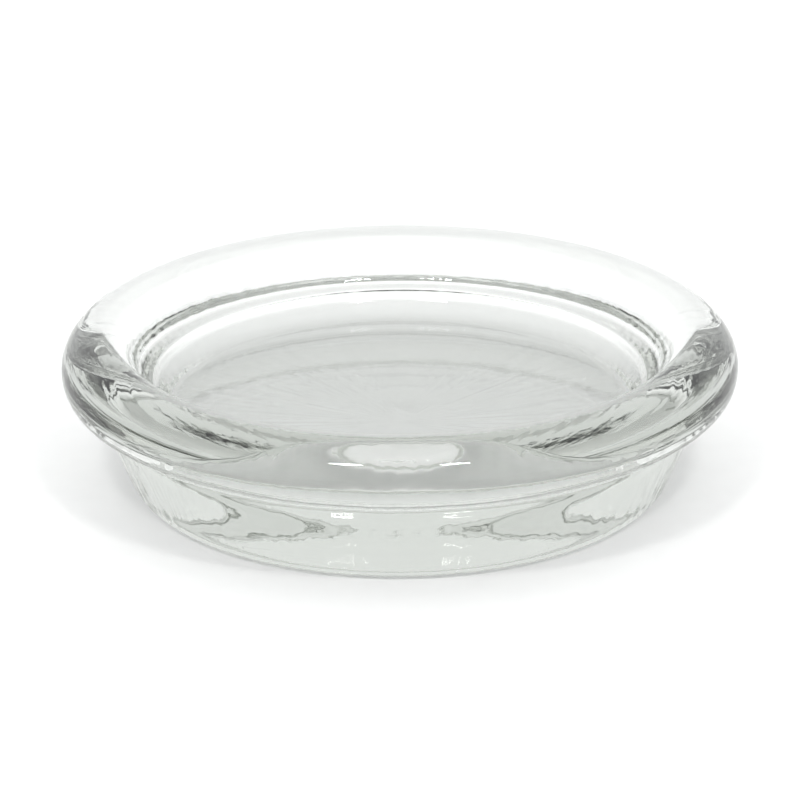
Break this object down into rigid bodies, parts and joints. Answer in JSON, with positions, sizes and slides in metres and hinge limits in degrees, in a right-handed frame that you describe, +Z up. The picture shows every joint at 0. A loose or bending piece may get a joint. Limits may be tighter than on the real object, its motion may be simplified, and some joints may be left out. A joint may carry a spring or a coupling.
{
  "type": "watch glass",
  "caption": "Clear moulded watch glass: shallow round well inside a thick rounded lip, on a narrower flared foot.",
  "frame": {"origin": "centre of the flat underside, on the plane the dish stands on", "axes": "+Z up along the axis of the dish, out of the well; +X and +Y are free, the dish being round"},
  "size_m": [0.067, 0.067, 0.0159],
  "materials": {
    "clear_glass": "clear pressed glass, fire polished, faint green-grey tint"
  },
  "bodies": {
    "root": {"dish": "clear_glass"}
  },
  "joints": []
}
